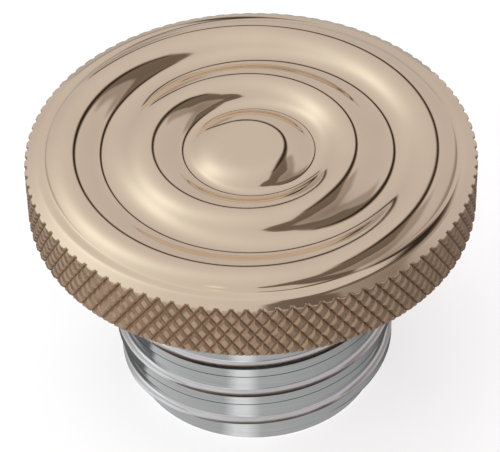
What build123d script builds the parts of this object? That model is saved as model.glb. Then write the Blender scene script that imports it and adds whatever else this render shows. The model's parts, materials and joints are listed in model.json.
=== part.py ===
from build123d import *
import os
from math import cos, radians, sin

# Screw-in fuel cap: a brass knob that turns on an aluminium plug through a one-way ratchet.
# Origin: centre of the plug's lower end. +Z is the cap's axis, up through the knob.
# All sizes in millimetres.

# ---- knob -------------------------------------------------------------------
KNOB_R = 38.1
RIM_Z = 46.9
GRIP_HEIGHT = 10.0
SKIRT_Z = RIM_Z - GRIP_HEIGHT
RECESS_R = 33.0
RECESS_Z = 44.0
DOME_R = 5.1
DOME_RISE = 2.37
# Each ripple: radius of its trough or crest, rise above the grip's top edge, and how far along
# the slope that leads to it the curve changes from one arc to the other.
RIPPLES = [
    (10.97, 0.83, 0.77),
    (17.34, 2.68, 0.37),
    (24.37, 0.78, 0.50),
    (30.97, 2.30, 0.41),
]
# The last crest rolls over into a sharp corner. A narrow land follows, then the bevel that the
# grip's top edge ends. Each place is a radius and a rise above the grip's top edge.
ROLL_START = (31.20, 2.30)
CORNER = (34.72, 1.10)
LAND_END = (35.95, 1.00)
BEVEL_START = (36.60, 0.81)
BEVEL_EDGE_R = 0.3
SKIRT_CHAMFER = 0.3

# ---- plug -------------------------------------------------------------------
LEAD_IN_R = 21.6
LEAD_IN_TOP = 5.4
THREAD_R = 24.25
ROOT_R = 23.2
RELIEF_R = 22.0
THREAD_TOP = 34.2
THREAD_STARTS = 1
RIDGE_PITCH = 6.65
THREAD_LEAD = THREAD_STARTS * RIDGE_PITCH
RIDGE_CREST = 1.85
RIDGE_BASE = 2.85
RIDGE_FOOT = 0.6
THREAD_PHASE = -90.0
RIDGE_LOWER_EDGE = 11.35
FLANGE_R = 31.8
FLANGE_Z = 39.6
FLANGE_TOP = 43.2
CHAMBER_R = 17.0
CHAMBER_TOP = 24.5
NECK_BORE_R = 15.5
WEB_Z = 31.0
WEB_TOP = 35.0
WELL_R = 16.0
VENT_R = 1.25
VENT_CIRCLE_R = 12.3
VENTS = 6

# ---- neck gasket and slip ring ----------------------------------------------
GASKET_THICK = 2.2
GASKET_R = 31.0
SLIP_RING_INNER_R = 17.2
SLIP_RING_THICK = 0.7

# ---- ratchet ----------------------------------------------------------------
TEETH = 24
TOOTH_PITCH = 360 / TEETH
TOOTH_LAND = 1.5
TOOTH_ROOT_R = 16.6
TOOTH_TIP_R = 15.5
STOP_FLANK = 7.0
RATCHET_R = 18.6
RATCHET_Z = 39.4
KEY_R = 19.8
KEY_WIDTH = 4.0
KEY_ANGLES = (60, 180, 300)
PAWL_ANGLES = (0, 120, 240)
PAWL_WIDTH = 4.1
PAWL_Z = 40.5
PAWL_HEIGHT = 3.4
PAWL_HEEL = 8.3
PAWL_SHOULDER = 15.0
PAWL_NOSE = 16.3
PAWL_NOSE_Y = 1.75
CARRIER_R = 15.0
CARRIER_Z = 37.2
SLOT_WIDTH = 4.2
SLOT_Z = 40.45
SLOT_END = 5.0
PAWL_SPRING_R = 1.2
PAWL_SPRING_WIRE_R = 0.2
PAWL_SPRING_TURNS = 4
CARRIER_SCREW_CIRCLE_R = 9.6
CARRIER_SCREW_R = 1.5
CARRIER_SCREW_HEAD_R = 2.75
CARRIER_SCREW_HEAD_Z = 37.4
CARRIER_SCREW_SEAT = 40.4
CARRIER_SCREW_TIP = 46.3

# ---- pivot ------------------------------------------------------------------
SHOULDER_R = 4.0
RUNNING_GAP = 0.05
BUSHING_R = 6.0
BUSHING_FLANGE_R = 8.5
BUSHING_FLANGE = 1.0
PIVOT_THREAD_R = 2.5
PIVOT_TIP = 47.0
PIVOT_HEAD_R = 6.5
PIVOT_HEAD = 4.0
PIVOT_SEAT = 30.0
PIVOT_SOCKET_R = 2.9
PIVOT_SOCKET_DEPTH = 2.4
THRUST_WASHER_R = 8.0
THRUST_WASHER = 0.9
SPRING_WASHER_R = 8.0
SPRING_WASHER = 0.45

# ---- vent valve -------------------------------------------------------------
HOUSING_R = 16.95
HOUSING_Z = 3.4
HOUSING_BORE_R = 13.8
HOUSING_SKIRT_BORE_R = 14.0
SEAT_FLOOR_Z = 10.0
SEAT_FLOOR_TOP = 12.0
SEAT_HOLE_R = 7.6
SEAT_LIP_R = 8.8
SEAT_LIP_INNER_R = 8.0
SEAT_LIP = 0.5
O_RING_Z = 15.3
O_RING_CORD_R = 0.8
O_RING_GROOVE = 1.8
PLATE_R = 11.8
PLATE_Z = 13.2
PLATE_THICK = 1.2
PLATE_HUB_R = 4.0
PLATE_HUB_TOP = 16.6
PRESSURE_SEAL_R = (6.6, 11.0)
VACUUM_SEAL_R = (3.0, 5.4)
VACUUM_DISC_R = 5.6
VACUUM_DISC_Z = 11.4
VACUUM_DISC_TOP = 12.6
STEM_R = 1.5
STEM_NECK_R = 1.1
STEM_TOP = 21.0
STEM_BORE_R = STEM_R + RUNNING_GAP
AIR_HOLE_R = 0.45
AIR_HOLE_CIRCLE_R = 2.4
CLIP_Z = 20.0
CLIP_THICK = 0.5
CLIP_R = 3.2
RETAINER_Z = 22.5
RETAINER_TOP = 24.0
RETAINER_INNER_R = 5.0
RETAINER_HOLES = 8
RETAINER_HOLE_R = 1.0
RETAINER_HOLE_CIRCLE_R = 12.0
PRESSURE_SPRING_R = 9.5
PRESSURE_WIRE_R = 0.45
PRESSURE_TURNS = 4
VACUUM_SPRING_R = 2.6
VACUUM_WIRE_R = 0.2
VACUUM_TURNS = 5

# ---- guard at the plug's mouth ----------------------------------------------
GUARD_R = 16.9
GUARD_Z = 2.4
GUARD_HOLE_R = 1.3
GUARD_HOLE_ROWS = [(5.0, 6), (10.4, 12)]
CIRCLIP_Z = 1.25
CIRCLIP_THICK = 1.1
CIRCLIP_R = 17.85
CIRCLIP_INNER_R = 15.7
CIRCLIP_GAP = 8.0
CIRCLIP_EAR_R = 1.7
CIRCLIP_EAR_CIRCLE_R = 14.6
CIRCLIP_EAR_ANGLE = 24.0
CIRCLIP_EYE_R = 0.8
GROOVE_R = 17.9
GROOVE_SLACK = 0.05


def section(*corners):
    """Half section of a turned piece, each corner given as radius and height."""
    with BuildSketch(Plane.XZ) as half:
        with BuildLine():
            Polyline(*corners, close=True)
        make_face()
    return half.sketch


def ring(inner, outer, bottom, top):
    """Half section of a plain disc or ring."""
    return section((inner, bottom), (outer, bottom), (outer, top), (inner, top))


def polar(radius, angle):
    return (radius * cos(radians(angle)), radius * sin(radians(angle)))


def write(piece, name):
    piece.part.label = name
    export_step(piece.part, f"parts/{name}.step")


os.makedirs("parts", exist_ok=True)

# ---- knob: one turned brass piece, ripples on top, recess below --------------
with BuildPart() as knob:
    with BuildSketch(Plane.XZ):
        with BuildLine():
            Line((0, RECESS_Z), (0, RIM_Z + DOME_RISE))
            Line((0, RIM_Z + DOME_RISE), (DOME_R, RIM_Z + DOME_RISE))
            start = Vector(DOME_R, RIM_Z + DOME_RISE)
            for radius, rise, turn in RIPPLES:
                end = Vector(radius, RIM_Z + rise)
                middle = start + (end - start) * turn
                first = TangentArc(start, middle, tangent=(1, 0))
                TangentArc(middle, end, tangent=first % 1)
                start = end
            roll, corner, land, bevel = [
                Vector(radius, RIM_Z + rise) for radius, rise in (ROLL_START, CORNER, LAND_END, BEVEL_START)
            ]
            Line(start, roll)
            TangentArc(roll, corner, tangent=(1, 0))
            flat = Line(corner, land)
            TangentArc(land, bevel, tangent=flat % 1)
            Polyline(
                (bevel.X, bevel.Y),
                (KNOB_R, RIM_Z),
                (KNOB_R, SKIRT_Z),
                (RECESS_R, SKIRT_Z),
                (RECESS_R, RECESS_Z),
                (0, RECESS_Z),
            )
        make_face()
    revolve(axis=Axis.Z)
    outer_rim = knob.edges().filter_by(GeomType.CIRCLE).group_by(SortBy.RADIUS)[-1]
    fillet(outer_rim.sort_by(Axis.Z)[-1], radius=BEVEL_EDGE_R)
    chamfer(outer_rim.sort_by(Axis.Z)[0], length=SKIRT_CHAMFER)
    with Locations(Location((0, 0, RECESS_Z), (180, 0, 0))):
        Hole(PIVOT_THREAD_R, depth=PIVOT_TIP + 0.2 - RECESS_Z)
        with PolarLocations(CARRIER_SCREW_CIRCLE_R, 3, start_angle=60):
            Hole(CARRIER_SCREW_R, depth=CARRIER_SCREW_TIP + 0.1 - RECESS_Z)
write(knob, "knob")

# ---- plug: lead-in band, two-start thread, flange, web and valve chamber -----
with BuildPart() as threaded_plug:
    revolve(
        section(
            (0, WEB_Z),
            (NECK_BORE_R, WEB_Z),
            (NECK_BORE_R, CHAMBER_TOP),
            (CHAMBER_R, CHAMBER_TOP),
            (CHAMBER_R, CIRCLIP_Z + CIRCLIP_THICK + GROOVE_SLACK),
            (GROOVE_R, CIRCLIP_Z + CIRCLIP_THICK + GROOVE_SLACK),
            (GROOVE_R, CIRCLIP_Z - GROOVE_SLACK),
            (CHAMBER_R, CIRCLIP_Z - GROOVE_SLACK),
            (CHAMBER_R + 0.4, 0),
            (LEAD_IN_R - 0.5, 0),
            (LEAD_IN_R, 0.5),
            (LEAD_IN_R, LEAD_IN_TOP),
            (ROOT_R, LEAD_IN_TOP),
            (ROOT_R, THREAD_TOP),
            (RELIEF_R, THREAD_TOP),
            (RELIEF_R, FLANGE_Z),
            (FLANGE_R, FLANGE_Z),
            (FLANGE_R, FLANGE_TOP),
            (RATCHET_R, FLANGE_TOP),
            (RATCHET_R, RATCHET_Z),
            (WELL_R, RATCHET_Z),
            (WELL_R, WEB_TOP),
            (0, WEB_TOP),
        ),
        axis=Axis.Z,
    )
    with Locations((0, 0, WEB_TOP)):
        Hole(BUSHING_R, depth=WEB_TOP - WEB_Z)
        with PolarLocations(VENT_CIRCLE_R, VENTS):
            Hole(VENT_R, depth=WEB_TOP - WEB_Z)
    for angle in KEY_ANGLES:
        with BuildSketch(Plane.XY.offset(RATCHET_Z).rotated((0, 0, angle))):
            with Locations((RATCHET_R, 0)):
                Rectangle(2 * (KEY_R + 0.1 - RATCHET_R), KEY_WIDTH + 0.1)
        extrude(amount=FLANGE_TOP - RATCHET_Z, mode=Mode.SUBTRACT)

# Each ridge is swept one pitch past both ends of the thread and cut off square there.
ridge_middle = RIDGE_LOWER_EDGE + RIDGE_CREST / 2
turns_below = (ridge_middle - LEAD_IN_TOP + RIDGE_PITCH) / THREAD_LEAD
sweep_start = ridge_middle - turns_below * THREAD_LEAD
with BuildPart() as ridge:
    with BuildLine(Plane.XY.offset(sweep_start)):
        helix = Helix(THREAD_LEAD, THREAD_TOP + RIDGE_PITCH - sweep_start, ROOT_R)
    with BuildSketch(Plane(helix @ 0, x_dir=(1, 0, 0), z_dir=helix % 0)):
        with BuildLine():
            Polyline(
                (-RIDGE_FOOT, -RIDGE_BASE / 2),
                (0, -RIDGE_BASE / 2),
                (THREAD_R - ROOT_R, -RIDGE_CREST / 2),
                (THREAD_R - ROOT_R, RIDGE_CREST / 2),
                (0, RIDGE_BASE / 2),
                (-RIDGE_FOOT, RIDGE_BASE / 2),
                close=True,
            )
        make_face()
    sweep(path=helix, is_frenet=True)

with BuildPart() as thread_ridges:
    for start_number in range(THREAD_STARTS):
        turn = THREAD_PHASE + 360 * (start_number / THREAD_STARTS - turns_below)
        add(ridge.part, rotation=(0, 0, turn))
    with BuildSketch(Plane.XY.offset(LEAD_IN_TOP)):
        Circle(THREAD_R + 1)
    extrude(amount=THREAD_TOP - LEAD_IN_TOP, mode=Mode.INTERSECT)

with threaded_plug:
    add(thread_ridges.part)
write(threaded_plug, "threaded_plug")

# ---- neck gasket and slip ring ----------------------------------------------
with BuildPart() as neck_gasket:
    revolve(ring(RELIEF_R, GASKET_R, FLANGE_Z - GASKET_THICK, FLANGE_Z), axis=Axis.Z)
write(neck_gasket, "neck_gasket")

with BuildPart() as thrust_ring:
    slip_top = FLANGE_TOP + SLIP_RING_THICK
    revolve(ring(SLIP_RING_INNER_R, GASKET_R, FLANGE_TOP, slip_top), axis=Axis.Z)
write(thrust_ring, "thrust_ring")

# ---- pivot ------------------------------------------------------------------
with BuildPart() as pivot_bushing:
    revolve(
        section(
            (SHOULDER_R + RUNNING_GAP, WEB_Z),
            (BUSHING_R, WEB_Z),
            (BUSHING_R, WEB_TOP),
            (BUSHING_FLANGE_R, WEB_TOP),
            (BUSHING_FLANGE_R, WEB_TOP + BUSHING_FLANGE),
            (SHOULDER_R + RUNNING_GAP, WEB_TOP + BUSHING_FLANGE),
        ),
        axis=Axis.Z,
    )
write(pivot_bushing, "pivot_bushing")

with BuildPart() as shoulder_screw:
    revolve(
        section(
            (0, PIVOT_SEAT - PIVOT_HEAD),
            (PIVOT_HEAD_R - 0.5, PIVOT_SEAT - PIVOT_HEAD),
            (PIVOT_HEAD_R, PIVOT_SEAT - PIVOT_HEAD + 0.5),
            (PIVOT_HEAD_R, PIVOT_SEAT),
            (SHOULDER_R, PIVOT_SEAT),
            (SHOULDER_R, CARRIER_Z),
            (PIVOT_THREAD_R, CARRIER_Z),
            (PIVOT_THREAD_R, PIVOT_TIP - 0.5),
            (PIVOT_THREAD_R - 0.5, PIVOT_TIP),
            (0, PIVOT_TIP),
        ),
        axis=Axis.Z,
    )
    with BuildSketch(Plane.XY.offset(PIVOT_SEAT - PIVOT_HEAD)):
        RegularPolygon(PIVOT_SOCKET_R, 6)
    extrude(amount=PIVOT_SOCKET_DEPTH, mode=Mode.SUBTRACT)
write(shoulder_screw, "shoulder_screw")

with BuildPart() as thrust_washer:
    inner_r = SHOULDER_R + RUNNING_GAP
    revolve(ring(inner_r, THRUST_WASHER_R, PIVOT_SEAT, PIVOT_SEAT + THRUST_WASHER), axis=Axis.Z)
write(thrust_washer, "thrust_washer")

# Coned washer: its outer edge bears on the hub above, its inner edge is just clear of the bush.
with BuildPart() as spring_washer:
    washer_low = WEB_TOP + BUSHING_FLANGE + RUNNING_GAP
    revolve(
        section(
            (SHOULDER_R + 0.2, washer_low),
            (SPRING_WASHER_R, CARRIER_Z - SPRING_WASHER),
            (SPRING_WASHER_R, CARRIER_Z),
            (SHOULDER_R + 0.2, washer_low + SPRING_WASHER),
        ),
        axis=Axis.Z,
    )
write(spring_washer, "spring_washer")

# ---- ratchet ----------------------------------------------------------------
# Looked at from above, the stop flank of each tooth faces the pawl on its anticlockwise side,
# so the knob drives the plug when it is unscrewed and slips over the ramps when it is overtightened.
with BuildPart() as ratchet_ring:
    with BuildSketch(Plane.XY.offset(RATCHET_Z)):
        Circle(RATCHET_R)
        for angle in KEY_ANGLES:
            with BuildSketch(Plane.XY.rotated((0, 0, angle)), mode=Mode.PRIVATE) as key:
                with Locations((RATCHET_R - 0.5, 0)):
                    Rectangle(2 * (KEY_R - RATCHET_R + 0.5), KEY_WIDTH)
            add(key.sketch)
        outline = []
        for tooth in range(TEETH):
            root = STOP_FLANK - tooth * TOOTH_PITCH
            outline.append(polar(TOOTH_ROOT_R, root))
            outline.append(polar(TOOTH_TIP_R, root - TOOTH_PITCH + TOOTH_LAND))
            outline.append(polar(TOOTH_TIP_R, root - TOOTH_PITCH))
        with BuildLine():
            Polyline(*outline, close=True)
        make_face(mode=Mode.SUBTRACT)
    extrude(amount=FLANGE_TOP - RATCHET_Z)
write(ratchet_ring, "ratchet_ring")

with BuildPart() as pawl_carrier:
    revolve(ring(0, CARRIER_R, CARRIER_Z, RECESS_Z), axis=Axis.Z)
    with Locations((0, 0, RECESS_Z)):
        Hole(PIVOT_THREAD_R)
        with PolarLocations(CARRIER_SCREW_CIRCLE_R, 3, start_angle=60):
            Hole(CARRIER_SCREW_R)
    with BuildSketch(Plane.XY.offset(CARRIER_Z)):
        with PolarLocations(CARRIER_SCREW_CIRCLE_R, 3, start_angle=60):
            Circle(CARRIER_SCREW_HEAD_R + 0.1)
    extrude(amount=CARRIER_SCREW_SEAT - CARRIER_Z, mode=Mode.SUBTRACT)
    for angle in PAWL_ANGLES:
        with BuildSketch(Plane.XY.offset(SLOT_Z).rotated((0, 0, angle))):
            with Locations((SLOT_END, 0)):
                Rectangle(CARRIER_R, SLOT_WIDTH, align=(Align.MIN, Align.CENTER))
        extrude(amount=RECESS_Z - SLOT_Z, mode=Mode.SUBTRACT)
write(pawl_carrier, "pawl_carrier")

with BuildPart() as carrier_screws:
    with BuildSketch(Plane.XY.offset(CARRIER_SCREW_HEAD_Z)):
        with PolarLocations(CARRIER_SCREW_CIRCLE_R, 3, start_angle=60):
            Circle(CARRIER_SCREW_HEAD_R)
    extrude(amount=CARRIER_SCREW_SEAT - CARRIER_SCREW_HEAD_Z)
    with BuildSketch(Plane.XY.offset(CARRIER_SCREW_SEAT)):
        with PolarLocations(CARRIER_SCREW_CIRCLE_R, 3, start_angle=60):
            Circle(CARRIER_SCREW_R)
    extrude(amount=CARRIER_SCREW_TIP - CARRIER_SCREW_SEAT)
    with BuildSketch(Plane.XY.offset(CARRIER_SCREW_HEAD_Z)):
        with PolarLocations(CARRIER_SCREW_CIRCLE_R, 3, start_angle=60):
            RegularPolygon(1.45, 6)
    extrude(amount=1.5, mode=Mode.SUBTRACT)
write(carrier_screws, "carrier_screws")

for number, angle in enumerate(PAWL_ANGLES, start=1):
    with BuildPart() as pawl:
        with BuildSketch(Plane.XY.offset(PAWL_Z).rotated((0, 0, angle))):
            with BuildLine():
                Polyline(
                    (PAWL_HEEL, -PAWL_WIDTH / 2),
                    (PAWL_SHOULDER, -PAWL_WIDTH / 2),
                    (PAWL_NOSE, PAWL_NOSE_Y),
                    (PAWL_SHOULDER, PAWL_NOSE_Y),
                    (PAWL_SHOULDER, PAWL_WIDTH / 2),
                    (PAWL_HEEL, PAWL_WIDTH / 2),
                    close=True,
                )
            make_face()
        extrude(amount=PAWL_HEIGHT)
    write(pawl, f"pawl_{number}")

    with BuildPart() as pawl_spring:
        reach = PAWL_HEEL - SLOT_END - 2 * PAWL_SPRING_WIRE_R - 0.1
        first_turn = SLOT_END + PAWL_SPRING_WIRE_R + 0.05
        spring_middle = PAWL_Z + PAWL_HEIGHT / 2
        with BuildLine():
            coil = Helix(
                reach / PAWL_SPRING_TURNS,
                reach,
                PAWL_SPRING_R,
                center=Vector(*polar(first_turn, angle), spring_middle),
                direction=Vector(*polar(1, angle), 0),
            )
        with BuildSketch(Plane(coil @ 0, z_dir=coil % 0)):
            Circle(PAWL_SPRING_WIRE_R)
        sweep(path=coil, is_frenet=True)
    write(pawl_spring, f"pawl_spring_{number}")

# ---- vent valve housing -----------------------------------------------------
with BuildPart() as valve_housing:
    revolve(
        section(
            (HOUSING_SKIRT_BORE_R, HOUSING_Z),
            (HOUSING_R, HOUSING_Z),
            (HOUSING_R, O_RING_Z - O_RING_GROOVE / 2),
            (CHAMBER_R - 2 * O_RING_CORD_R, O_RING_Z - O_RING_GROOVE / 2),
            (CHAMBER_R - 2 * O_RING_CORD_R, O_RING_Z + O_RING_GROOVE / 2),
            (HOUSING_R, O_RING_Z + O_RING_GROOVE / 2),
            (HOUSING_R, CHAMBER_TOP),
            (HOUSING_BORE_R, CHAMBER_TOP),
            (HOUSING_BORE_R, SEAT_FLOOR_TOP),
            (SEAT_LIP_R, SEAT_FLOOR_TOP),
            (SEAT_LIP_R, SEAT_FLOOR_TOP + SEAT_LIP),
            (SEAT_LIP_INNER_R, SEAT_FLOOR_TOP + SEAT_LIP),
            (SEAT_LIP_INNER_R, SEAT_FLOOR_TOP),
            (SEAT_HOLE_R, SEAT_FLOOR_TOP),
            (SEAT_HOLE_R, SEAT_FLOOR_Z),
            (HOUSING_SKIRT_BORE_R, SEAT_FLOOR_Z),
        ),
        axis=Axis.Z,
    )
write(valve_housing, "valve_housing")

with BuildPart() as housing_o_ring:
    with BuildSketch(Plane.XZ):
        with Locations((CHAMBER_R - O_RING_CORD_R, O_RING_Z)):
            Circle(O_RING_CORD_R)
    revolve(axis=Axis.Z)
write(housing_o_ring, "housing_o_ring")

# ---- pressure relief: plate and seal lift off the seat lip against the big spring ----
with BuildPart() as pressure_plate:
    revolve(
        section(
            (STEM_BORE_R, PLATE_Z),
            (PLATE_R, PLATE_Z),
            (PLATE_R, PLATE_Z + PLATE_THICK),
            (PLATE_HUB_R, PLATE_Z + PLATE_THICK),
            (PLATE_HUB_R, PLATE_HUB_TOP),
            (STEM_BORE_R, PLATE_HUB_TOP),
        ),
        axis=Axis.Z,
    )
    with Locations((0, 0, PLATE_HUB_TOP)):
        with PolarLocations(AIR_HOLE_CIRCLE_R, 4):
            Hole(AIR_HOLE_R)
write(pressure_plate, "pressure_plate")

with BuildPart() as pressure_seal:
    revolve(ring(*PRESSURE_SEAL_R, SEAT_FLOOR_TOP + SEAT_LIP, PLATE_Z), axis=Axis.Z)
write(pressure_seal, "pressure_seal")

with BuildPart() as pressure_spring:
    spring_low = PLATE_Z + PLATE_THICK + PRESSURE_WIRE_R + 0.02
    spring_rise = RETAINER_Z - PRESSURE_WIRE_R - 0.02 - spring_low
    with BuildLine(Plane.XY.offset(spring_low)):
        coil = Helix(spring_rise / PRESSURE_TURNS, spring_rise, PRESSURE_SPRING_R)
    with BuildSketch(Plane(coil @ 0, z_dir=coil % 0)):
        Circle(PRESSURE_WIRE_R)
    sweep(path=coil, is_frenet=True)
write(pressure_spring, "pressure_spring")

with BuildPart() as spring_retainer:
    revolve(ring(RETAINER_INNER_R, HOUSING_BORE_R, RETAINER_Z, RETAINER_TOP), axis=Axis.Z)
    with Locations((0, 0, RETAINER_TOP)):
        with PolarLocations(RETAINER_HOLE_CIRCLE_R, RETAINER_HOLES):
            Hole(RETAINER_HOLE_R)
write(spring_retainer, "spring_retainer")

# ---- vacuum inlet: a small disc under the plate, held up by its own spring ----
with BuildPart() as vacuum_valve:
    revolve(
        section(
            (0, VACUUM_DISC_Z),
            (VACUUM_DISC_R, VACUUM_DISC_Z),
            (VACUUM_DISC_R, VACUUM_DISC_TOP),
            (STEM_R, VACUUM_DISC_TOP),
            (STEM_R, CLIP_Z),
            (STEM_NECK_R, CLIP_Z),
            (STEM_NECK_R, CLIP_Z + CLIP_THICK),
            (STEM_R, CLIP_Z + CLIP_THICK),
            (STEM_R, STEM_TOP),
            (0, STEM_TOP),
        ),
        axis=Axis.Z,
    )
write(vacuum_valve, "vacuum_valve")

with BuildPart() as vacuum_seal:
    revolve(ring(*VACUUM_SEAL_R, VACUUM_DISC_TOP, PLATE_Z), axis=Axis.Z)
write(vacuum_seal, "vacuum_seal")

with BuildPart() as vacuum_spring:
    spring_low = PLATE_HUB_TOP + VACUUM_WIRE_R + 0.02
    spring_rise = CLIP_Z - VACUUM_WIRE_R - 0.02 - spring_low
    with BuildLine(Plane.XY.offset(spring_low)):
        coil = Helix(spring_rise / VACUUM_TURNS, spring_rise, VACUUM_SPRING_R)
    with BuildSketch(Plane(coil @ 0, z_dir=coil % 0)):
        Circle(VACUUM_WIRE_R)
    sweep(path=coil, is_frenet=True)
write(vacuum_spring, "vacuum_spring")

with BuildPart() as vacuum_clip:
    with BuildSketch(Plane.XY.offset(CLIP_Z)):
        Circle(CLIP_R)
        Circle(STEM_NECK_R, mode=Mode.SUBTRACT)
        with Locations((CLIP_R / 2, 0)):
            Rectangle(CLIP_R, 2 * STEM_NECK_R - 0.3, mode=Mode.SUBTRACT)
    extrude(amount=CLIP_THICK)
write(vacuum_clip, "vacuum_clip")

# ---- guard and circlip ------------------------------------------------------
with BuildPart() as splash_guard:
    with BuildSketch(Plane.XY.offset(GUARD_Z)):
        Circle(GUARD_R)
        Circle(GUARD_HOLE_R, mode=Mode.SUBTRACT)
        for circle_r, count in GUARD_HOLE_ROWS:
            with PolarLocations(circle_r, count):
                Circle(GUARD_HOLE_R, mode=Mode.SUBTRACT)
    extrude(amount=HOUSING_Z - GUARD_Z)
write(splash_guard, "splash_guard")

with BuildPart() as guard_circlip:
    with BuildSketch(Plane.XY.offset(CIRCLIP_Z)):
        Circle(CIRCLIP_R)
        Circle(CIRCLIP_INNER_R, mode=Mode.SUBTRACT)
        with Locations((CIRCLIP_R, 0)):
            Rectangle(CIRCLIP_R, CIRCLIP_GAP, mode=Mode.SUBTRACT)
        for side in (-1, 1):
            with Locations(polar(CIRCLIP_EAR_CIRCLE_R, side * CIRCLIP_EAR_ANGLE)):
                Circle(CIRCLIP_EAR_R)
                Circle(CIRCLIP_EYE_R, mode=Mode.SUBTRACT)
    extrude(amount=CIRCLIP_THICK)
write(guard_circlip, "guard_circlip")
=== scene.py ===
import json
import math

import bpy
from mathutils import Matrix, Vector


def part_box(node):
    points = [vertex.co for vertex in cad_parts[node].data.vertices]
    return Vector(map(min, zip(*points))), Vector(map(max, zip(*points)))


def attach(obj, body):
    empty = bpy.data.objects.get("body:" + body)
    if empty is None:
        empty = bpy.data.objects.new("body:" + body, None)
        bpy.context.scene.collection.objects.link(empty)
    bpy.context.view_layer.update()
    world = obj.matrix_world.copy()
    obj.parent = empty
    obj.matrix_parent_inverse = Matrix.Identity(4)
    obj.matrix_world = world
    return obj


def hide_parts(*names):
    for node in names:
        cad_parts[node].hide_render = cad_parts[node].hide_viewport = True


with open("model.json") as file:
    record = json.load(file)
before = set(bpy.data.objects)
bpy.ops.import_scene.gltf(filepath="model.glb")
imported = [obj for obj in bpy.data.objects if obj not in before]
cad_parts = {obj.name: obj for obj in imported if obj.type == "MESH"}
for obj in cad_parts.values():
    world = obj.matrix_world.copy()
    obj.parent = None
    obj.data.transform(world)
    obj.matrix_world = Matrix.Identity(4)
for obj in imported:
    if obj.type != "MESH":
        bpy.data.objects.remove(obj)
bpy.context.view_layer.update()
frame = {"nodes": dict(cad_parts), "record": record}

MM = 0.001

# ---- places, read from the frame --------------------------------------------
knob_low, knob_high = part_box("knob")
plug_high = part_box("threaded_plug")[1]
gasket_low, gasket_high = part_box("neck_gasket")
KNOB_R = knob_high.x
CREST_RISE = 2.68 * MM
RIM_Z = knob_high.z - CREST_RISE
SKIRT_Z = knob_low.z
RECESS_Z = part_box("pawl_carrier")[1].z
FLANGE_R = plug_high.x
FLANGE_TOP = plug_high.z
FLANGE_Z = gasket_high.z

# ---- knob: shape of the top, in metres from the axis and above the grip's top edge ---
DOME_R = 5.1 * MM
DOME_RISE = 2.37 * MM
# Troughs and rings: radius, rise, and the share of the way at which the slope up or down to it turns.
RIPPLES = [
    (10.97 * MM, 0.83 * MM, 0.77),
    (17.34 * MM, 2.68 * MM, 0.37),
    (24.37 * MM, 0.78 * MM, 0.50),
    (30.97 * MM, 2.30 * MM, 0.41),
]
ROLL_START = (31.20 * MM, 2.30 * MM)
ROLL_STEPS = 16
CORNER = (34.72 * MM, 1.10 * MM)
LAND_START = (34.75 * MM, 1.09 * MM)
LAND_MIDDLE = (35.3 * MM, 1.055 * MM)
LAND_END = (35.95 * MM, 1.00 * MM)
BEVEL_START = (36.60 * MM, 0.81 * MM)
BEVEL_LEAD_STEPS = 4
ARC_STEPS = 10
KNOB_SMOOTH_ANGLE = 24
RECESS_R = 33.0 * MM
RECESS_EDGE = 0.4 * MM
RECESS_RINGS = (20 * MM, 8 * MM)
SKIRT_RINGS = (37.0 * MM, 36.2 * MM)

# ---- knurl ---------------------------------------------------------------------
DIAMONDS = 98
DIAMOND_STEPS = 12
DIAMOND_HEIGHT = 3.6 * MM
GROOVE_DEPTH = 0.50 * MM
GROOVE_SHARE = 3 / 12
# Steps of a groove at which its bottom and its two upper edges run.
CREASES = (0, 3, 9)
FINE = DIAMONDS * DIAMOND_STEPS
COARSE = FINE // 4
ROW = DIAMOND_HEIGHT / DIAMOND_STEPS
SKIRT_CHAMFER = 0.3 * MM
# The bevel's rings, as distances in from the grip's edge, and the rounding where it meets the grip.
BEVEL_BACKS = (1.0 * MM, 0.62 * MM, 0.52 * MM, 0.42 * MM, 0.32 * MM, 0.22 * MM, 0.12 * MM)
EDGE_ROUND = ((0.05 * MM, 0.02 * MM), (0.01 * MM, -0.05 * MM))
# The polish ends this far below the grip's top edge. Above it, a face is raw where a groove cuts the
# bevel: in this zone from the edge, and tipped further than the bevel itself.
POLISH_REACH = 0.12 * MM
NOTCH_ZONE = (1.1 * MM, 0.06 * MM)
NOTCH_TILT = 0.862

# ---- plug ------------------------------------------------------------------------
LEAD_IN_R = 21.6 * MM
LEAD_IN_TOP = 5.4 * MM
# The lead-in's rounded foot, as distance in and height, and the step to the thread at its top.
LEAD_IN_FOOT = ((0.45 * MM, 0.0), (0.15 * MM, 0.12 * MM), (0.0, 0.45 * MM))
LEAD_IN_STEP = ((0.0, -0.02 * MM), (0.05 * MM, 0.0))
ROOT_R = 23.2 * MM
THREAD_R = 24.25 * MM
RELIEF_R = 22.0 * MM
THREAD_TOP = 34.2 * MM
# One start: each turn of the ridge lies one pitch above the last.
PITCH = 6.65 * MM
CREST = 1.85 * MM
BASE = 2.85 * MM
FLANK = (BASE - CREST) / 2
LOWER_EDGE = 11.35 * MM
UPPER_BLEND = 1.2 * MM
BLEND_POWER = 2.2
# Height of the crest strip above its lower edge that is painted dark, as the shade under the overhang.
PAINTED_SHADE_STRIP = 0.16 * MM
TURN_STEPS = 360
TURNS_BELOW = 6
TURNS = 14
PLUG_SMOOTH_ANGLE = 28
MOUTH_CHAMFER = 0.35 * MM
CLIP_GROOVE_R = 17.9 * MM
CLIP_GROOVE_Z = (1.2 * MM, 2.4 * MM)
CHAMBER_R = 17.0 * MM
CHAMBER_TOP = 24.5 * MM
NECK_BORE_R = 15.5 * MM
WEB_Z = 31.0 * MM
WEB_TOP = 35.0 * MM
WELL_R = 16.0 * MM
RATCHET_R = 18.6 * MM
RATCHET_Z = 39.4 * MM
FLANGE_EDGE = 0.3 * MM

# ---- gasket ----------------------------------------------------------------------
GASKET_EDGE = 0.35 * MM
GASKET_EDGE_STEPS = 5


# ==== mesh helpers ===============================================================
def circle_point(radius, angle, z):
    return (radius * math.cos(angle), radius * math.sin(angle), z)


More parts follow.
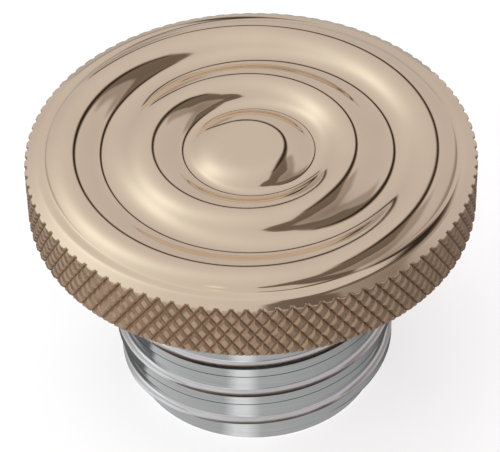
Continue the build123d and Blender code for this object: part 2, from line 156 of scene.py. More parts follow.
def make_object(name, points, faces, smooth=True):
    mesh = bpy.data.meshes.new(name)
    mesh.from_pydata(points, [], faces)
    mesh.validate()
    if smooth:
        mesh.shade_smooth()
    piece = bpy.data.objects.new(name, mesh)
    bpy.context.collection.objects.link(piece)
    return piece


def sharpen(piece, degrees):
    """Smooth shading with an edge where two faces meet at more than this angle."""
    piece.data.set_sharp_from_angle(angle=math.radians(degrees))


def arc_points(start, end, steps):
    """From start, where the tangent is level, on one arc to end. Points are (radius, height)."""
    run, rise = end[0] - start[0], end[1] - start[1]
    bend = (run * run + rise * rise) / (2 * rise)
    out = []
    for k in range(1, steps + 1):
        x = run * k / steps
        out.append((start[0] + x, start[1] + bend - math.copysign(math.sqrt(bend * bend - x * x), bend)))
    return out


def slope_points(start, end, turn, steps):
    """A level-ended slope of two tangent arcs that meet at the share turn of the way."""
    middle = (start[0] + (end[0] - start[0]) * turn, start[1] + (end[1] - start[1]) * turn)
    first = arc_points(start, middle, steps)
    second = arc_points(end, middle, steps)
    return first + second[-2::-1] + [end]


class Lathe:
    """A closed mesh built ring by ring round the Z axis. Each ring is a list of point numbers."""

    def __init__(self):
        self.points, self.faces, self.ring = [], [], None

    def add_ring(self, count, place):
        """place(angle) gives the radius and height there."""
        first = len(self.points)
        for k in range(count):
            angle = 2 * math.pi * k / count
            radius, z = place(angle)
            self.points.append(circle_point(radius, angle, z))
        ring = list(range(first, first + count))
        if self.ring is not None:
            self.join(self.ring, ring)
        self.ring = ring
        return ring

    def join(self, old, new):
        if len(old) == 1 or len(new) == 1:
            tip, rim = (old[0], new) if len(old) == 1 else (new[0], old)
            for k in range(len(rim)):
                pair = (rim[k], rim[(k + 1) % len(rim)])
                self.faces.append((tip, *pair) if len(old) == 1 else (tip, pair[1], pair[0]))
        elif len(old) == len(new):
            n = len(new)
            for k in range(n):
                self.faces.append((old[k], new[k], new[(k + 1) % n], old[(k + 1) % n]))
        else:
            coarse, fine = (old, new) if len(old) < len(new) else (new, old)
            ratio = len(fine) // len(coarse)
            for k in range(len(coarse)):
                fan = [fine[(k * ratio + j) % len(fine)] for j in range(ratio + 1)]
                a, b = coarse[k], coarse[(k + 1) % len(coarse)]
                loop = [a] + fan + [b] if coarse is old else [a, b] + fan[::-1]
                self.faces.append(tuple(loop))

    def tip(self, z):
        """Closes the mesh to, or starts it from, one point on the axis."""
        self.points.append((0, 0, z))
        ring = [len(self.points) - 1]
        if self.ring is not None:
            self.join(self.ring, ring)
        self.ring = ring


# ==== knob ========================================================================
def knurl_radius(column, height):
    """Radius of the knurl's two crossing sets of V grooves, at a height above its top edge."""
    row = -height / ROW
    depth = 0.0
    for line in (column + row, column - row):
        across = (line % DIAMOND_STEPS) / DIAMOND_STEPS
        nearest = min(across, 1 - across)
        depth = max(depth, 1 - nearest / GROOVE_SHARE)
    return KNOB_R - GROOVE_DEPTH * depth


def top_profile():
    """Points of the polished top from the middle to the start of the bevel."""
    points = [(DOME_R * k / 3, DOME_RISE) for k in range(1, 4)]
    for radius, rise, turn in RIPPLES:
        points += slope_points(points[-1], (radius, rise), turn, ARC_STEPS)
    points += [ROLL_START] + arc_points(ROLL_START, CORNER, ROLL_STEPS)
    points += [LAND_START, LAND_MIDDLE, LAND_END]
    fall = (CORNER[1] - LAND_END[1]) / (LAND_END[0] - CORNER[0])
    run, drop = BEVEL_START[0] - LAND_END[0], LAND_END[1] - BEVEL_START[1]
    for k in range(1, BEVEL_LEAD_STEPS + 1):
        t = k / BEVEL_LEAD_STEPS
        points.append((LAND_END[0] + run * t, LAND_END[1] - fall * run * t - (drop - fall * run) * t * t))
    return points


def build_knob():
    lathe = Lathe()
    lathe.tip(RIM_Z + DOME_RISE)
    for radius, rise in top_profile():
        lathe.add_ring(COARSE, lambda angle: (radius, RIM_Z + rise))

    # The bevel runs down to the grip's top edge, and the knurl's grooves cut up into it.
    slope = BEVEL_START[1] / (KNOB_R - BEVEL_START[0])
    bevel = [(KNOB_R - back, slope * back) for back in BEVEL_BACKS]
    bevel += [(KNOB_R - back, height) for back, height in EDGE_ROUND]
    levels = bevel + [(KNOB_R, -ROW * row) for row in range(1, 100) if ROW * row < RIM_Z - SKIRT_Z]
    previous, old_height = None, 0.0
    for number, (most, height) in enumerate(levels):
        if number > 1:
            lathe.ring = None

        def place(angle):
            column = round(angle / (2 * math.pi) * FINE)
            low_limit = KNOB_R - SKIRT_CHAMFER + (RIM_Z + height - SKIRT_Z)
            return min(most, knurl_radius(column, height), low_limit), RIM_Z + height

        ring = lathe.add_ring(FINE, place)
        if number > 1:
            row = round(-old_height / ROW)
            for k in range(FINE):
                a, b = previous[k], previous[(k + 1) % FINE]
                c, d = ring[(k + 1) % FINE], ring[k]
                falling = (k - row) % DIAMOND_STEPS in CREASES
                rising = (k + row + 1) % DIAMOND_STEPS in CREASES
                if falling and rising:
                    corners = [Vector(lathe.points[n]) for n in (a, b, c, d)]
                    middle = sum(corners, Vector()) / 4
                    radius = knurl_radius(k + 0.5, (height + old_height) / 2)
                    middle.xy *= min(radius, most) / middle.xy.length
                    m = len(lathe.points)
                    lathe.points.append(tuple(middle))
                    lathe.faces += [(a, m, b), (b, m, c), (c, m, d), (d, m, a)]
                elif rising:
                    lathe.faces += [(a, d, b), (b, d, c)]
                else:
                    lathe.faces += [(a, d, c), (a, c, b)]
        previous, old_height = ring, height
    lathe.ring = previous

    lathe.add_ring(FINE, lambda angle: (min(place(angle)[0], KNOB_R - SKIRT_CHAMFER), SKIRT_Z))
    lathe.add_ring(FINE, lambda angle: (SKIRT_RINGS[0], SKIRT_Z))
    wall = [
        (SKIRT_RINGS[1], SKIRT_Z),
        (RECESS_R + RECESS_EDGE, SKIRT_Z),
        (RECESS_R, SKIRT_Z + RECESS_EDGE),
        (RECESS_R, RECESS_Z - RECESS_EDGE),
        (RECESS_R - RECESS_EDGE, RECESS_Z),
    ]
    wall += [(radius, RECESS_Z) for radius in RECESS_RINGS]
    for radius, z in wall:
        lathe.add_ring(COARSE, lambda angle: (radius, z))
    lathe.tip(RECESS_Z)
    piece = make_object("knob_body", lathe.points, lathe.faces)
    sharpen(piece, KNOB_SMOOTH_ANGLE)
    return piece


# ==== plug ========================================================================
def ridge_start(angle):
    """Height of a ridge's lower crest edge at this angle. It is LOWER_EDGE at the front, towards -Y."""
    return LOWER_EDGE + PITCH * (angle + math.pi / 2) / (2 * math.pi)


def ridge_radius(height):
    """Radius of the thread at this height above a ridge's lower crest edge, at the same angle."""
    above = height % PITCH
    depth = THREAD_R - ROOT_R
    if above <= CREST:
        return THREAD_R
    if above >= PITCH - FLANK:
        return ROOT_R + depth * (above - PITCH + FLANK) / FLANK
    return ROOT_R + depth * max(1 - (above - CREST) / UPPER_BLEND, 0.0) ** BLEND_POWER


def build_plug():
    lathe = Lathe()
    inside = [
        (NECK_BORE_R, WEB_Z),
        (NECK_BORE_R, CHAMBER_TOP),
        (CHAMBER_R, CHAMBER_TOP),
        (CHAMBER_R, CLIP_GROOVE_Z[1]),
        (CLIP_GROOVE_R, CLIP_GROOVE_Z[1]),
        (CLIP_GROOVE_R, CLIP_GROOVE_Z[0]),
        (CHAMBER_R, CLIP_GROOVE_Z[0]),
        (CHAMBER_R, MOUTH_CHAMFER),
        (CHAMBER_R + MOUTH_CHAMFER, 0.0),
    ]
    inside += [(LEAD_IN_R - back, z) for back, z in LEAD_IN_FOOT]
    inside += [(LEAD_IN_R + out, LEAD_IN_TOP + z) for out, z in LEAD_IN_STEP]
    lathe.tip(WEB_Z)
    for radius, z in inside:
        lathe.add_ring(TURN_STEPS, lambda angle: (radius, z))

    # The thread's rows follow the helix; rows past its ends are pressed flat onto the end planes.
    blend_end = CREST + UPPER_BLEND
    marks = [0.0, PAINTED_SHADE_STRIP, CREST / 2, CREST - 0.1 * MM]
    marks += [CREST + UPPER_BLEND * k / 8 for k in range(9)]
    marks += [blend_end + (PITCH - FLANK - blend_end) * k / 3 for k in range(1, 4)]
    marks += [PITCH - FLANK / 2]
    per_turn = len(marks)
    rows = [(turn - TURNS_BELOW) * PITCH + mark for turn in range(TURNS) for mark in marks]

    columns = []
    for k in range(TURN_STEPS):
        angle = 2 * math.pi * k / TURN_STEPS
        numbers, made = [], {}
        for row in rows:
            z = min(max(ridge_start(angle) + row, LEAD_IN_TOP), THREAD_TOP)
            key = round(z / MM, 6)
            if key not in made:
                made[key] = len(lathe.points)
                lathe.points.append(circle_point(ridge_radius(z - ridge_start(angle)), angle, z))
            numbers.append(made[key])
        columns.append(numbers)
    for k in range(TURN_STEPS):
        here = columns[k]
        if k + 1 < TURN_STEPS:
            there = columns[k + 1]
        else:
            # Back at the first column, the same ridge is one turn further up.
            there = columns[0][per_turn:] + [columns[0][-1]] * per_turn
        for j in range(len(rows) - 1):
            loop = []
            for corner in (here[j], there[j], there[j + 1], here[j + 1]):
                if corner not in loop:
                    loop.append(corner)
            if len(loop) > 2:
                lathe.faces.append(tuple(loop))
    bottom_ring = [column[0] for column in columns]
    top_ring = [column[-1] for column in columns]
    lathe.join(lathe.ring, bottom_ring)
    lathe.ring = top_ring
    outside = [
        (RELIEF_R, THREAD_TOP),
        (RELIEF_R, FLANGE_Z - FLANGE_EDGE),
        (RELIEF_R + FLANGE_EDGE, FLANGE_Z),
        (FLANGE_R - FLANGE_EDGE, FLANGE_Z),
        (FLANGE_R, FLANGE_Z + FLANGE_EDGE),
        (FLANGE_R, FLANGE_TOP - FLANGE_EDGE),
        (FLANGE_R - FLANGE_EDGE, FLANGE_TOP),
        (RATCHET_R, FLANGE_TOP),
        (RATCHET_R, RATCHET_Z),
        (WELL_R, RATCHET_Z),
        (WELL_R, WEB_TOP),
    ]
    for radius, z in outside:
        lathe.add_ring(TURN_STEPS, lambda angle: (radius, z))
    lathe.tip(WEB_TOP)
    piece = make_object("plug_body", lathe.points, lathe.faces)
    sharpen(piece, PLUG_SMOOTH_ANGLE)
    return piece


def in_painted_edge_shade(face):
    """True on a ridge's lower flank and on the thin strip of crest just above it, which are painted dark as the
    shade under the crest's overhang.
    """
    angle = math.atan2(face.center.y, face.center.x)
    above = (face.center.z - ridge_start(angle)) % PITCH
    on_thread = LEAD_IN_TOP < face.center.z < THREAD_TOP and face.center.xy.length > ROOT_R
    return on_thread and (above < PAINTED_SHADE_STRIP or above > PITCH - FLANK)


def build_gasket():
    """A moulded flat ring with slightly rounded edges."""
    lathe = Lathe()
    inner, outer = RELIEF_R + GASKET_EDGE, gasket_high.x - GASKET_EDGE
    low, high = gasket_low.z + GASKET_EDGE, gasket_high.z - GASKET_EDGE
    # Each corner's centre, and the quarter turns at which its rounding starts.
    corners = [(inner, low, 2), (outer, low, 3), (outer, high, 0), (inner, high, 1)]
    first = None
    for centre_r, centre_z, quarter in corners:
        for k in range(GASKET_EDGE_STEPS + 1):
            turn = math.pi / 2 * (quarter + k / GASKET_EDGE_STEPS)
            radius, z = centre_r + GASKET_EDGE * math.cos(turn), centre_z + GASKET_EDGE * math.sin(turn)
            ring = lathe.add_ring(TURN_STEPS, lambda angle: (radius, z))
            first = first or ring
    lathe.join(lathe.ring, first)
    return make_object("gasket_ring", lathe.points, lathe.faces)


# ==== materials ===================================================================
def set_stops(ramp, stops):
    """Gives a new colour ramp these (value, colour) stops, in rising order."""
    first, last = ramp.elements
    first.position, last.position = stops[0][0], stops[-1][0]
    first.color, last.color = (*stops[0][1], 1), (*stops[-1][1], 1)
    for position, colour in stops[1:-1]:
        ramp.elements.new(position).color = (*colour, 1)


class Nodes:
    """Short names for the nodes that the materials below use."""

    def __init__(self, name):
        self.material = bpy.data.materials.new(name)
        self.material.use_nodes = True
        self.tree = self.material.node_tree
        self.shader = self.tree.nodes["Principled BSDF"]
        self.place = self.tree.nodes.new("ShaderNodeTexCoord").outputs["Object"]

    def link(self, source, target):
        self.tree.links.new(source, target)

    def math(self, operation, a, b=0.0, clamp=False):
        node = self.tree.nodes.new("ShaderNodeMath")
        node.operation = operation
        node.use_clamp = clamp
        for socket, value in zip(node.inputs, (a, b)):
            if hasattr(value, "default_value"):
                self.link(value, socket)
            else:
                socket.default_value = value
        return node.outputs[0]

    def stretched(self, x, y, z):
        """The place, with each axis scaled."""
        node = self.tree.nodes.new("ShaderNodeVectorMath")
        node.operation = "MULTIPLY"
        self.link(self.place, node.inputs[0])
        node.inputs[1].default_value = (x, y, z)
        return node.outputs[0]

    def radius(self):
        node = self.tree.nodes.new("ShaderNodeVectorMath")
        node.operation = "LENGTH"
        self.link(self.stretched(1, 1, 0), node.inputs[0])
        return node.outputs["Value"]

    def turned(self, across, along):
        """A place that changes quickly across tool marks and slowly along them, round the Z axis."""
        split = self.tree.nodes.new("ShaderNodeSeparateXYZ")
        self.link(self.place, split.inputs[0])
        join = self.tree.nodes.new("ShaderNodeCombineXYZ")
        radius = self.radius()
        self.link(self.math("MULTIPLY", radius, across), join.inputs[0])
        self.link(self.math("MULTIPLY", split.outputs["Z"], across), join.inputs[1])
        angle = self.math("DIVIDE", split.outputs["X"], radius)
        self.link(self.math("MULTIPLY", angle, along), join.inputs[2])
        return join.outputs[0]

    def noise(self, place, scale, detail=3.0, roughness=0.55):
        node = self.tree.nodes.new("ShaderNodeTexNoise")
        self.link(place, node.inputs["Vector"])
        node.inputs["Scale"].default_value = scale
        node.inputs["Detail"].default_value = detail
        node.inputs["Roughness"].default_value = roughness
        return node.outputs["Fac"]

    def spread(self, value, low, high, to_low, to_high):
        node = self.tree.nodes.new("ShaderNodeMapRange")
        self.link(value, node.inputs["Value"])
        for name, number in (("From Min", low), ("From Max", high), ("To Min", to_low), ("To Max", to_high)):
            node.inputs[name].default_value = number
        return node.outputs["Result"]

    def mix(self, share, first, second):
        """Mixes two colours, each a colour or another mix."""
        node = self.tree.nodes.new("ShaderNodeMix")
        node.data_type = "RGBA"
        self.link(share, node.inputs["Factor"])
        for socket, value in ((node.inputs[6], first), (node.inputs[7], second)):
            if hasattr(value, "default_value"):
                self.link(value, socket)
            else:
                socket.default_value = (*value, 1.0)
        return node.outputs[2]

    def ramp(self, value, stops):
        """A colour for the value, from (value, colour) stops."""
        node = self.tree.nodes.new("ShaderNodeValToRGB")
        self.link(value, node.inputs["Fac"])
        set_stops(node.color_ramp, stops)
        return node.outputs["Color"]

    def bump(self, height, distance, strength=1.0, below=None):
        node = self.tree.nodes.new("ShaderNodeBump")
        node.inputs["Distance"].default_value = distance
        node.inputs["Strength"].default_value = strength
        self.link(height, node.inputs["Height"])
        if below is not None:
            self.link(below, node.inputs["Normal"])
        return node.outputs["Normal"]

    def finish(self, metallic, colour=None, roughness=None, normal=None):
        self.shader.inputs["Metallic"].default_value = metallic
        for name, value in (("Base Color", colour), ("Roughness", roughness), ("Normal", normal)):
            if value is not None:
                self.link(value, self.shader.inputs[name])
        return self.material


def polished_brass():
    """Mirror-polished cast brass: faint long waviness, hardly any haze."""
    n = Nodes("polished_brass")
    tone = n.noise(n.place, 60, 2)
    colour = n.mix(n.spread(tone, 0.35, 0.65, 0, 1), (0.86, 0.715, 0.545), (0.90, 0.755, 0.575))
    haze = n.noise(n.turned(900, 3), 1.0, 4)
    roughness = n.spread(haze, 0.3, 0.7, 0.035, 0.075)
    wave = n.noise(n.place, 140, 1)
    return n.finish(1.0, colour, roughness, n.bump(wave, 0.02 * MM, 0.35))


def raw_brass():
    """The knurled band, left as it came off the tool: dull and grainy, with painted shade at the groove bottoms and
    just under the flat tops, and a painted lighter band midway up the flanks.
    """
    n = Nodes("raw_brass")
    depth = n.spread(n.radius(), KNOB_R - GROOVE_DEPTH, KNOB_R, 0, 1)
    grain = n.noise(n.place, 2600, 5, 0.65)
    blotch = n.noise(n.place, 420, 3, 0.6)
    # Colour by groove depth: painted shade at the groove bottoms and in a band just under the flat tops, and a
    # painted lighter band midway up the flanks.
    painted_light_by_depth = n.ramp(depth, [(0.0, (0.23, 0.15, 0.095)), (0.12, (0.38, 0.26, 0.165)), (0.5, (0.64, 0.455, 0.30)),
                              (0.82, (0.47, 0.33, 0.215)), (1.0, (0.60, 0.43, 0.31))])
    # Random dark blotches mixed over the painted light and shade of the grooves.
    groove = n.mix(n.spread(blotch, 0.32, 0.68, 0, 0.6), painted_light_by_depth, (0.34, 0.23, 0.15))
    colour = n.mix(n.spread(grain, 0.4, 0.8, 0, 0.5), groove, (0.86, 0.66, 0.50))
    roughness = n.spread(grain, 0.3, 0.7, 0.40, 0.60)
    ripple = n.bump(blotch, 0.10 * MM, 0.7)
    return n.finish(1.0, colour, roughness, n.bump(grain, 0.06 * MM, 0.7, ripple))


def turned_aluminium():
    """Bright turned aluminium with fine tool marks round the axis."""
    n = Nodes("turned_aluminium")
    marks = n.noise(n.turned(6500, 2), 1.0, 4, 0.7)
    bands = n.noise(n.turned(1100, 1), 1.0, 2)
    colour = n.mix(n.spread(marks, 0.3, 0.7, 0, 1), (0.66, 0.665, 0.67), (0.80, 0.805, 0.81))
    roughness = n.spread(bands, 0.3, 0.7, 0.10, 0.17)
    tangent = n.tree.nodes.new("ShaderNodeTangent")
    tangent.direction_type = "RADIAL"
    tangent.axis = "Z"
    n.link(tangent.outputs[0], n.shader.inputs["Tangent"])
    n.shader.inputs["Anisotropic"].default_value = 0.6
    n.shader.inputs["Anisotropic Rotation"].default_value = 0.25
    return n.finish(1.0, colour, roughness, n.bump(marks, 0.012 * MM, 0.5))


def steel(name, dark, bright, rough_low, rough_high):
    n = Nodes(name)
    marks = n.noise(n.turned(5200, 3), 1.0, 4, 0.65)
    stain = n.noise(n.place, 320, 3)
    colour = n.mix(n.spread(stain, 0.3, 0.7, 0, 1), dark, bright)
    roughness = n.spread(marks, 0.3, 0.7, rough_low, rough_high)
    return n.finish(1.0, colour, roughness, n.bump(marks, 0.01 * MM, 0.5))


def bronze_bush():
    n = Nodes("sintered_bronze")
    pores = n.noise(n.place, 4200, 4, 0.7)
    colour = n.mix(n.spread(pores, 0.35, 0.65, 0, 1), (0.38, 0.24, 0.12), (0.62, 0.43, 0.24))
    return n.finish(1.0, colour, n.spread(pores, 0.3, 0.7, 0.35, 0.5), n.bump(pores, 0.03 * MM, 0.5))


def plastic(name, dark, bright, rough_low, rough_high, grain_depth):
    """Moulded or turned polymer: a slight mottle and a fine surface grain."""
    n = Nodes(name)
    mottle = n.noise(n.place, 180, 3)
    grain = n.noise(n.place, 3000, 4, 0.6)
    colour = n.mix(n.spread(mottle, 0.3, 0.7, 0, 1), dark, bright)
    roughness = n.spread(grain, 0.3, 0.7, rough_low, rough_high)
    return n.finish(0.0, colour, roughness, n.bump(grain, grain_depth, 0.6))


MATERIALS = {
    "plug_aluminium": turned_aluminium(),
    "black_rubber": plastic("nitrile_rubber", (0.018, 0.018, 0.019), (0.035, 0.034, 0.033), 0.5, 0.7, 0.03 * MM),
    "spring_steel": steel("bright_steel", (0.46, 0.46, 0.47), (0.62, 0.62, 0.63), 0.2, 0.34),
    "dark_steel": steel("phosphated_steel", (0.07, 0.07, 0.075), (0.15, 0.15, 0.155), 0.35, 0.5),
    "bronze_bush": bronze_bush(),
    "white_acetal": plastic("natural_acetal", (0.74, 0.73, 0.68), (0.84, 0.83, 0.78), 0.38, 0.5, 0.012 * MM),
    "black_acetal": plastic("black_acetal", (0.022, 0.022, 0.024), (0.04, 0.04, 0.043), 0.35, 0.48, 0.012 * MM),
}

# ==== pieces ======================================================================
BODY_OF = {node: body for body, nodes in frame["record"]["behaviour"]["bodies"].items() for node in nodes}


def replace(piece, node):
    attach(piece, BODY_OF[node])
    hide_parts(node)


knob = build_knob()
knob.data.materials.append(polished_brass())
knob.data.materials.append(raw_brass())
for face in knob.data.polygons:
    from_edge = KNOB_R - face.center.xy.length
    in_notch = NOTCH_ZONE[1] < from_edge < NOTCH_ZONE[0] and face.normal.z < NOTCH_TILT
    face.material_index = 1 if in_notch or face.center.z < RIM_Z - POLISH_REACH else 0
replace(knob, "knob")

plug = build_plug()
plug.data.materials.append(MATERIALS["plug_aluminium"])
# Dark steel on each ridge's lower flank and lowest crest strip: painted shade, the thin dark line under the
# overhang.
plug.data.materials.append(steel("thread_edge_painted_shade", (0.05, 0.05, 0.052), (0.12, 0.12, 0.125), 0.3, 0.45))
for face in plug.data.polygons:
    face.material_index = 1 if in_painted_edge_shade(face) else 0
replace(plug, "threaded_plug")

gasket = build_gasket()
gasket.data.materials.append(MATERIALS["black_rubber"])
replace(gasket, "neck_gasket")

REPLACED = ("knob", "threaded_plug", "neck_gasket")
for subpart in frame["record"]["subparts"]:
    if subpart["node"] not in REPLACED:
        node = frame["nodes"][subpart["node"]]
        for slot in node.material_slots:
            slot.material = MATERIALS[subpart["material_slot"]]

# ==== studio ======================================================================
FLOOR_HALF = 6.0
FLOOR_LIGHT_STRENGTH = 2.5
FLOOR_LIGHT_SPREAD = 60
WORLD_COLOUR = (0.09, 0.085, 0.08)
TENT_R = 1.6
# The glow's colour by its strength: brownish where dim, neutral where bright.
WARM_TINT = [(0.1, (1.22, 0.98, 0.82)), (0.35, (1.09, 0.98, 0.95)), (0.52, (1.04, 0.97, 1.0)),
             (0.85, (0.99, 1.0, 1.0))]


def build_floor():
    points = [(-FLOOR_HALF, -FLOOR_HALF, 0), (FLOOR_HALF, -FLOOR_HALF, 0),
              (FLOOR_HALF, FLOOR_HALF, 0), (-FLOOR_HALF, FLOOR_HALF, 0)]
    floor = make_object("floor", points, [(0, 1, 2, 3)])
    n = Nodes("pale_floor")
    tone = n.noise(n.place, 30, 2)
    colour = n.mix(n.spread(tone, 0.3, 0.7, 0, 1), (0.86, 0.86, 0.86), (0.88, 0.88, 0.88))
    floor.data.materials.append(n.finish(0.0, colour, n.spread(tone, 0.3, 0.7, 0.6, 0.7)))
    return floor


def glow_material(name, warm):
    """Light by each point's glow, on the front face only; if warm, browner where it is dim."""
    material = bpy.data.materials.new(name)
    material.use_nodes = True
    tree = material.node_tree
    tree.nodes.clear()
    glow = tree.nodes.new("ShaderNodeAttribute")
    glow.attribute_name = "glow"
    facing = tree.nodes.new("ShaderNodeNewGeometry")
    inner = tree.nodes.new("ShaderNodeMath")
    inner.operation = "SUBTRACT"
    inner.inputs[0].default_value = 1.0
    tree.links.new(facing.outputs["Backfacing"], inner.inputs[1])
    strength = tree.nodes.new("ShaderNodeMath")
    strength.operation = "MULTIPLY"
    tree.links.new(glow.outputs["Fac"], strength.inputs[0])
    tree.links.new(inner.outputs[0], strength.inputs[1])
    light = tree.nodes.new("ShaderNodeEmission")
    light.inputs["Color"].default_value = (1, 1, 1, 1)
    if warm:
        tint = tree.nodes.new("ShaderNodeValToRGB")
        set_stops(tint.color_ramp, WARM_TINT)
        tree.links.new(glow.outputs["Fac"], tint.inputs["Fac"])
        tree.links.new(tint.outputs["Color"], light.inputs["Color"])
    tree.links.new(strength.outputs[0], light.inputs["Strength"])
    out = tree.nodes.new("ShaderNodeOutputMaterial")
    tree.links.new(light.outputs[0], out.inputs["Surface"])
    return material


# Places on the tent are degrees right of straight up, and degrees from straight up away from
# the camera. Pools are brighter places: right, back, width, extra glow.
TENT_BASE = 0.56
TENT_POOLS = [
    (-31, 20, 15, 0.33),
    (-14, 22, 30, 0.12),
    (-68, 0, 22, 0.40),
    (-60, 10, 45, 0.15),
    (-30, -40, 30, 0.12),
    (-11, -15, 2.5, 0.25),
    (36, 2, 14, -0.18),
]
# Flags are dark cloths hung as bands: how dark, how soft their edge, and right, back, half width
# along the middle.
TENT_FLAGS = [
    (0.76, 1.6, [(-25, 76, 0.7), (-14, 69, 0.8), (-4, 64, 0.8), (2, 58, 0.9), (6, 51, 1.2), (9.8, 43, 1.7),
                 (13.5, 34, 2.4), (17, 25, 4.5), (19.5, 17, 6.0), (18.5, 9, 4.4), (18, 2, 3.6), (13, -5, 3.4),
                 (8, -11, 2.8), (3, -14, 1.2)]),
    (0.96, 1.8, [(-24, 75, 0.3), (-4, 63.6, 0.4), (2, 57.5, 0.6), (5.8, 51, 1.1), (9.7, 43, 1.5), (11.8, 35, 1.2),
                 (13, 26, 0.4), (13.5, 18, 0.2)]),
    (0.42, 5.0, [(20, 32, 3), (27, 22, 3), (29, 12, 3.5), (29, 2, 4.5), (24, -6, 5)]),
    (0.78, 3.0, [(12, -10, 3), (18, -12, 4.5), (26, -13, 4)]),
    (0.48, 6.0, [(52, 80, 1), (56, 62, 3), (57, 45, 4), (57, 30, 4), (57, 15, 4), (54, 2, 4), (46, -8, 4)]),
    (0.36, 5.0, [(-42, 92, 2), (-52, 75, 3), (-58, 58, 4), (-60, 40, 5), (-60, 22, 5), (-57, 8, 5), (-52, -4, 4),
                 (-44, -12, 3)]),
    (0.35, 4.0, [(-36, 92, 3), (-24, 86, 4), (-14, 80, 4)]),
]
TENT_STEP = 0.8
TENT_EDGE = 97


def band_shade(flag, right, back):
    """How much of the light this flag stops in this direction."""
    dark, soft, line = flag
    best = math.inf
    for (ax, ay, aw), (bx, by, bw) in zip(line, line[1:]):
        dx, dy = bx - ax, by - ay
        share = ((right - ax) * dx + (back - ay) * dy) / (dx * dx + dy * dy)
        share = min(max(share, 0.0), 1.0)
        away = math.hypot(right - ax - dx * share, back - ay - dy * share) - aw - (bw - aw) * share
        best = min(best, away)
    share = min(max(1.0 - best / soft, 0.0), 1.0)
    return dark * share * share * (3 - 2 * share)


def tent_glow(right, back):
    glow = TENT_BASE
    for x, y, width, extra in TENT_POOLS:
        glow += extra * math.exp(-((right - x) ** 2 + (back - y) ** 2) / width ** 2)
    shade = 0.0
    for flag, (left_end, right_end, near_end, far_end) in zip(TENT_FLAGS, FLAG_BOXES):
        if left_end < right < right_end and near_end < back < far_end:
            shade = max(shade, band_shade(flag, right, back))
    return glow * (1 - shade)


FLAG_BOXES = []
for dark, soft, line in TENT_FLAGS:
    pad = soft + max(p[2] for p in line)
    FLAG_BOXES.append((min(p[0] for p in line) - pad, max(p[0] for p in line) + pad,
                       min(p[1] for p in line) - pad, max(p[1] for p in line) + pad))


def sky(right, back):
    """Point of the tent in this direction."""
    lean = math.radians(math.hypot(right, back))
    around = math.atan2(back, right)
    return Vector((math.sin(lean) * math.cos(around), math.sin(lean) * math.sin(around), math.cos(lean))) * TENT_R


def emit(piece, name, values, warm):
    """Makes a piece glow by these values, one a point, unseen by the camera and shading nothing."""
    piece.data.attributes.new("glow", "FLOAT", "POINT").data.foreach_set("value", values)
    piece.data.materials.append(glow_material(name, warm))
    piece.visible_camera = False
    piece.visible_shadow = False


def build_tent():
    count = int(2 * TENT_EDGE / TENT_STEP) + 1
    number, points, values, faces = {}, [], [], []
    for j in range(count):
        for i in range(count):
            right, back = i * TENT_STEP - TENT_EDGE, j * TENT_STEP - TENT_EDGE
            if math.hypot(right, back) < TENT_EDGE:
                number[i, j] = len(points)
                points.append(sky(right, back))
                values.append(tent_glow(right, back))
    for (i, j), a in number.items():
        corners = (a, number.get((i, j + 1)), number.get((i + 1, j + 1)), number.get((i + 1, j)))
        if None not in corners:
            faces.append(corners)
    tent = make_object("light_tent", points, faces)
    emit(tent, "tent_glow", values, True)


# What the ground gives back to the polished and turned faces, up to NEAR_END from the axis and from
# FAR_START on: (degrees round the axis, glow).
NEAR_END = 0.055
FAR_START = 0.115
NEAR_GLOW = [(-180, 0.14), (-160, 0.14), (-156, 0.60), (-130, 0.50), (-108, 0.46), (-101, 0.85), (-95, 0.85),
             (-88, 0.48), (-60, 0.42), (-30, 0.34), (0, 0.10), (20, 0.12), (60, 0.42), (120, 0.42), (160, 0.20),
             (180, 0.14)]
FAR_GLOW = [(-180, 0.30), (-160, 0.30), (-150, 0.90), (-98, 1.05), (-88, 0.22), (-40, 0.16), (-10, 0.30), (90, 0.50),
            (150, 0.40), (180, 0.30)]
BOUNCE_Z = 0.3 * MM
BOUNCE_RINGS = (0.018, 0.03, NEAR_END, 0.07, 0.085, 0.1, FAR_START, 0.2, 0.5, 1.55)


def glow_at(stops, degrees):
    for (start, low), (end, high) in zip(stops, stops[1:]):
        if degrees <= end:
            return low + (high - low) * (degrees - start) / (end - start)
    return stops[-1][1]


def ground_glow(degrees, radius):
    share = min(max((radius - NEAR_END) / (FAR_START - NEAR_END), 0.0), 1.0)
    return glow_at(NEAR_GLOW, degrees) * (1 - share) + glow_at(FAR_GLOW, degrees) * share


def build_bounce():
    """A disc just above the floor that only reflections see."""
    points, values, faces = [], [], []
    for radius in BOUNCE_RINGS:
        for k in range(TURN_STEPS):
            angle = 2 * math.pi * k / TURN_STEPS - math.pi
            points.append(circle_point(radius, angle, BOUNCE_Z))
            values.append(ground_glow(math.degrees(angle), radius))
    for inner in range(0, len(points) - TURN_STEPS, TURN_STEPS):
        outer = inner + TURN_STEPS
        for k in range(TURN_STEPS):
            m = (k + 1) % TURN_STEPS
            faces.append((inner + k, outer + k, outer + m, inner + m))
    bounce = make_object("ground_bounce", points, faces)
    bounce.visible_diffuse = False
    emit(bounce, "ground_glow", values, False)


floor = build_floor()
build_tent()
build_bounce()

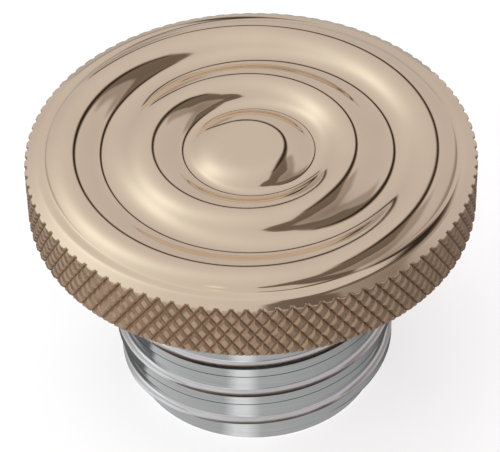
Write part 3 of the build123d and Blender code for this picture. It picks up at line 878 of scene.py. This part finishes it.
world = bpy.data.worlds.new("studio")
bpy.context.scene.world = world
world.use_nodes = True
world.node_tree.nodes["Background"].inputs["Color"].default_value = (*WORLD_COLOUR, 1)
world.node_tree.nodes["Background"].inputs["Strength"].default_value = 1.0

floor_light_data = bpy.data.lights.new("floor_light", "SUN")
floor_light_data.energy = FLOOR_LIGHT_STRENGTH
floor_light_data.angle = math.radians(FLOOR_LIGHT_SPREAD)
# It lights the floor alone, and the object doesn't shade it.
floor_light = bpy.data.objects.new("floor_light", floor_light_data)
bpy.context.collection.objects.link(floor_light)
only_floor = bpy.data.collections.new("lit_by_floor_light")
only_floor.objects.link(floor)
floor_light.light_linking.receiver_collection = only_floor
floor_light.light_linking.blocker_collection = only_floor

# ==== camera ======================================================================
CAMERA_DISTANCE = 473.6 * MM
CAMERA_AIM_Z = RIM_Z - 0.15 * MM
CAMERA_ELEVATION = math.radians(41.22)
CAMERA_PAN = math.radians(0.0535)
CAMERA_TILT = math.radians(-1.4535)
CAMERA_ROLL = math.radians(1.335)
LENS = 202.7
SENSOR = 36


def turned_about(vector, axis, angle):
    along = axis * axis.dot(vector)
    return along + (vector - along) * math.cos(angle) + axis.cross(vector) * math.sin(angle)


def place_camera():
    ce, se = math.cos(CAMERA_ELEVATION), math.sin(CAMERA_ELEVATION)
    ahead, right, up = Vector((0, ce, -se)), Vector((1, 0, 0)), Vector((0, se, ce))
    ahead, right = turned_about(ahead, up, CAMERA_PAN), turned_about(right, up, CAMERA_PAN)
    ahead, up = turned_about(ahead, right, CAMERA_TILT), turned_about(up, right, CAMERA_TILT)
    right, up = turned_about(right, ahead, CAMERA_ROLL), turned_about(up, ahead, CAMERA_ROLL)
    data = bpy.data.cameras.new("camera")
    data.lens = LENS
    data.sensor_width = SENSOR
    camera = bpy.data.objects.new("camera", data)
    bpy.context.collection.objects.link(camera)
    matrix = camera.matrix_world.to_3x3()
    matrix.col[0], matrix.col[1], matrix.col[2] = right, up, -ahead
    camera.matrix_world = matrix.to_4x4()
    camera.location = Vector((0, -CAMERA_DISTANCE * ce, CAMERA_AIM_Z + CAMERA_DISTANCE * se))
    bpy.context.scene.camera = camera


place_camera()
bpy.context.scene.view_settings.view_transform = "Standard"
